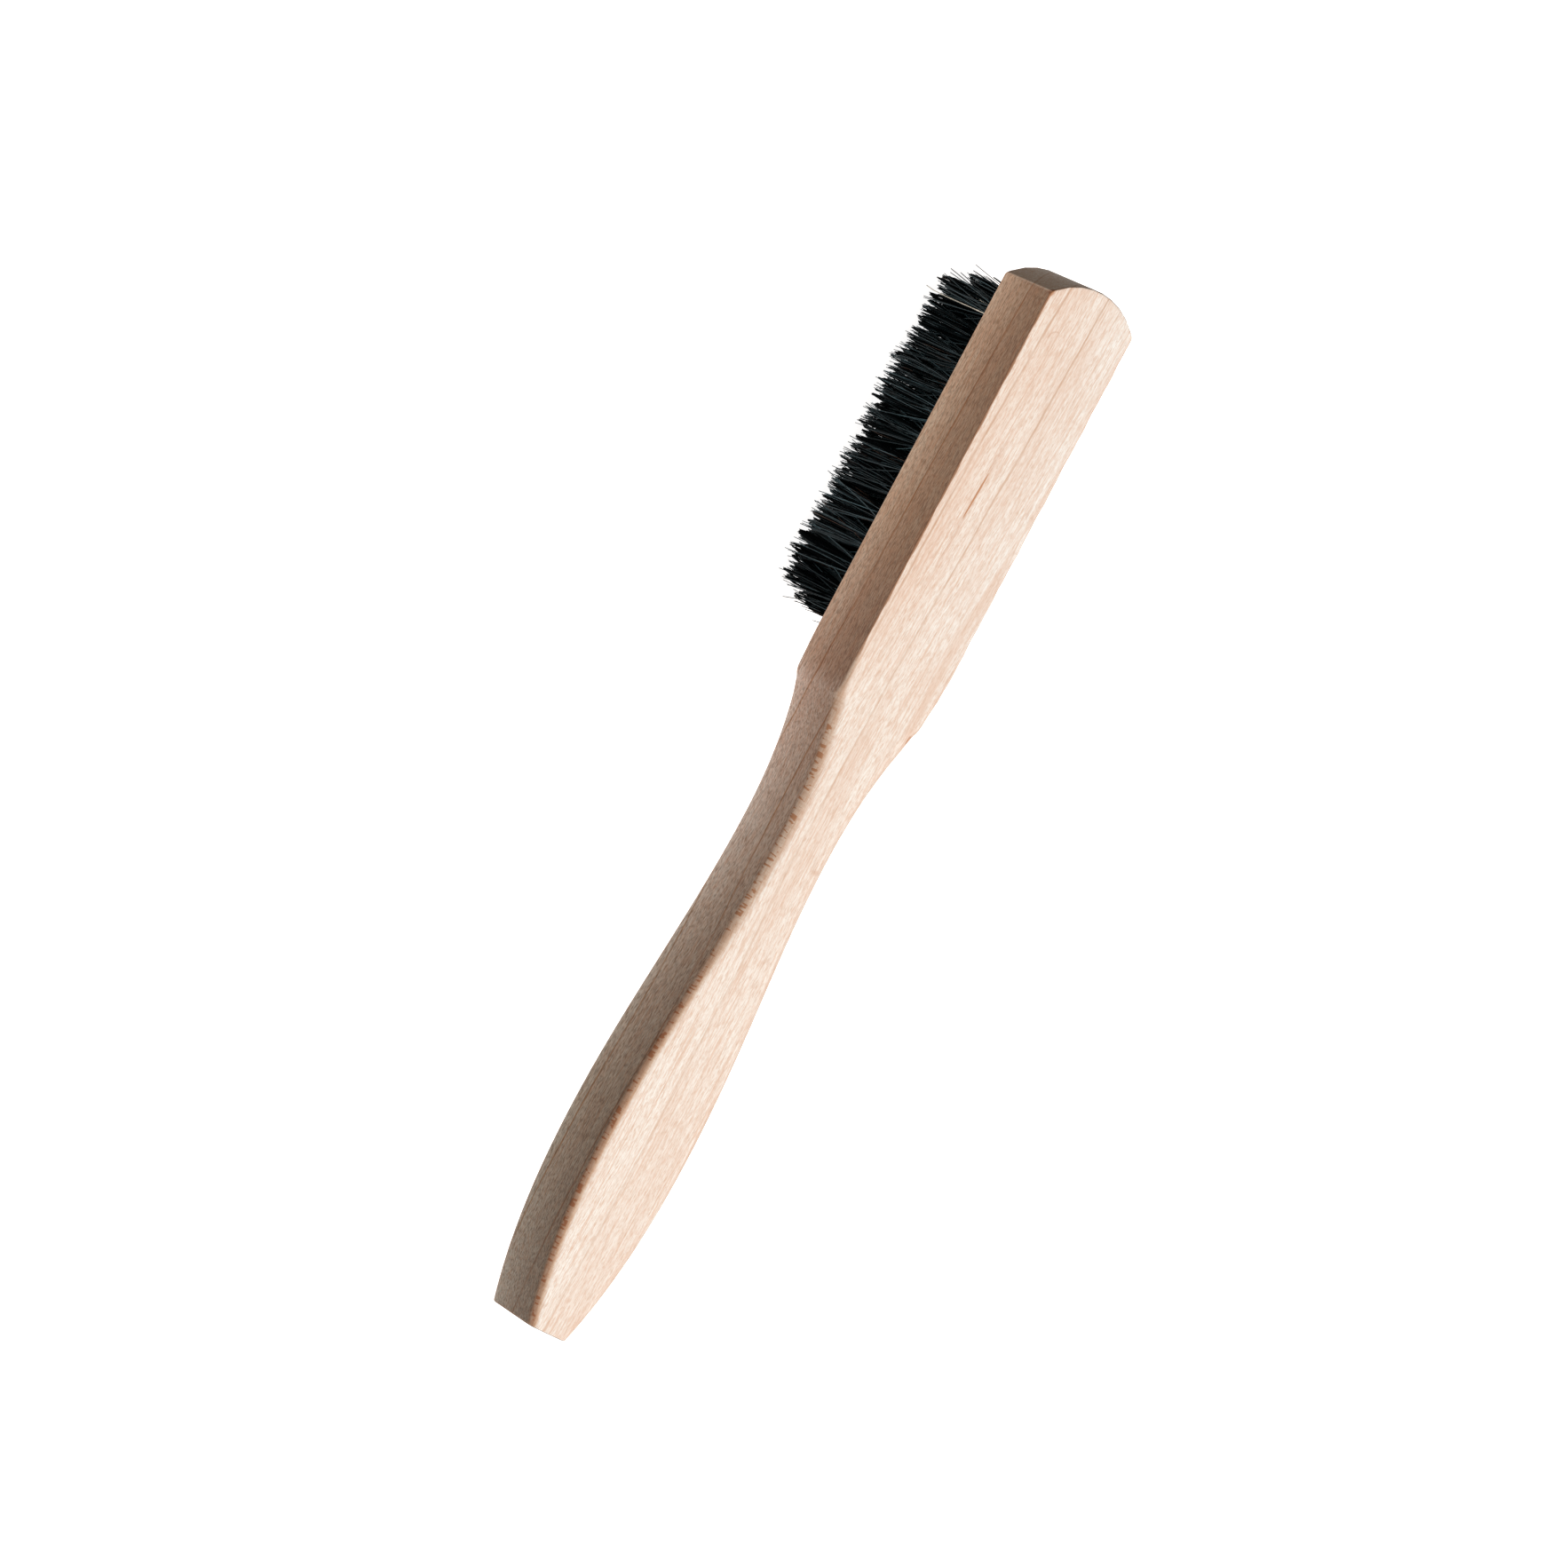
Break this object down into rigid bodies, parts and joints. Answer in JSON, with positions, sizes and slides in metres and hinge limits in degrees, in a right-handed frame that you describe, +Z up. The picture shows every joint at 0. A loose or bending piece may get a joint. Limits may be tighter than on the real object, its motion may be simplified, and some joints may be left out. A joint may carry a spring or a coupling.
{
  "type": "clothes brush",
  "caption": "Long-handled clothes brush: solid wooden body with a rectangular round-tipped head, slim neck and swelling handle, and tufts of dark natural bristle on wire anchors.",
  "frame": {"origin": "on the surface that the bristle tips touch, under the middle of the overall length", "axes": "+X from the rounded tip of the head towards the tail of the handle, +Y across, +Z up out of the back of the head"},
  "size_m": [0.216, 0.021, 0.0388],
  "materials": {
    "beech_wood": "bare, fine-sanded pale beech",
    "bristle": "black natural bristle, slightly glossy",
    "anchor_wire": "drawn flat wire"
  },
  "bodies": {
    "root": {"wooden_body": "beech_wood", "tuft_row_01": "bristle", "tuft_row_02": "bristle", "tuft_row_03": "bristle", "tuft_row_04": "bristle", "tuft_row_05": "bristle", "tuft_row_06": "bristle", "tuft_row_07": "bristle", "tuft_row_08": "bristle", "tuft_row_09": "bristle", "tuft_row_10": "bristle", "tuft_row_11": "bristle", "tuft_row_12": "bristle", "tuft_row_13": "bristle", "tuft_row_14": "bristle", "tuft_row_15": "bristle", "tuft_row_16": "bristle", "tuft_row_17": "bristle", "tuft_row_18": "bristle", "tuft_row_19": "bristle", "tuft_row_20": "bristle", "tuft_row_21": "bristle", "tuft_row_22": "bristle", "tuft_row_23": "bristle", "tuft_row_24": "bristle", "tuft_row_25": "bristle", "anchor_row_01": "anchor_wire", "anchor_row_02": "anchor_wire", "anchor_row_03": "anchor_wire", "anchor_row_04": "anchor_wire", "anchor_row_05": "anchor_wire", "anchor_row_06": "anchor_wire", "anchor_row_07": "anchor_wire", "anchor_row_08": "anchor_wire", "anchor_row_09": "anchor_wire", "anchor_row_10": "anchor_wire", "anchor_row_11": "anchor_wire", "anchor_row_12": "anchor_wire", "anchor_row_13": "anchor_wire", "anchor_row_14": "anchor_wire", "anchor_row_15": "anchor_wire", "anchor_row_16": "anchor_wire", "anchor_row_17": "anchor_wire", "anchor_row_18": "anchor_wire", "anchor_row_19": "anchor_wire", "anchor_row_20": "anchor_wire", "anchor_row_21": "anchor_wire", "anchor_row_22": "anchor_wire", "anchor_row_23": "anchor_wire", "anchor_row_24": "anchor_wire", "anchor_row_25": "anchor_wire"}
  },
  "joints": []
}
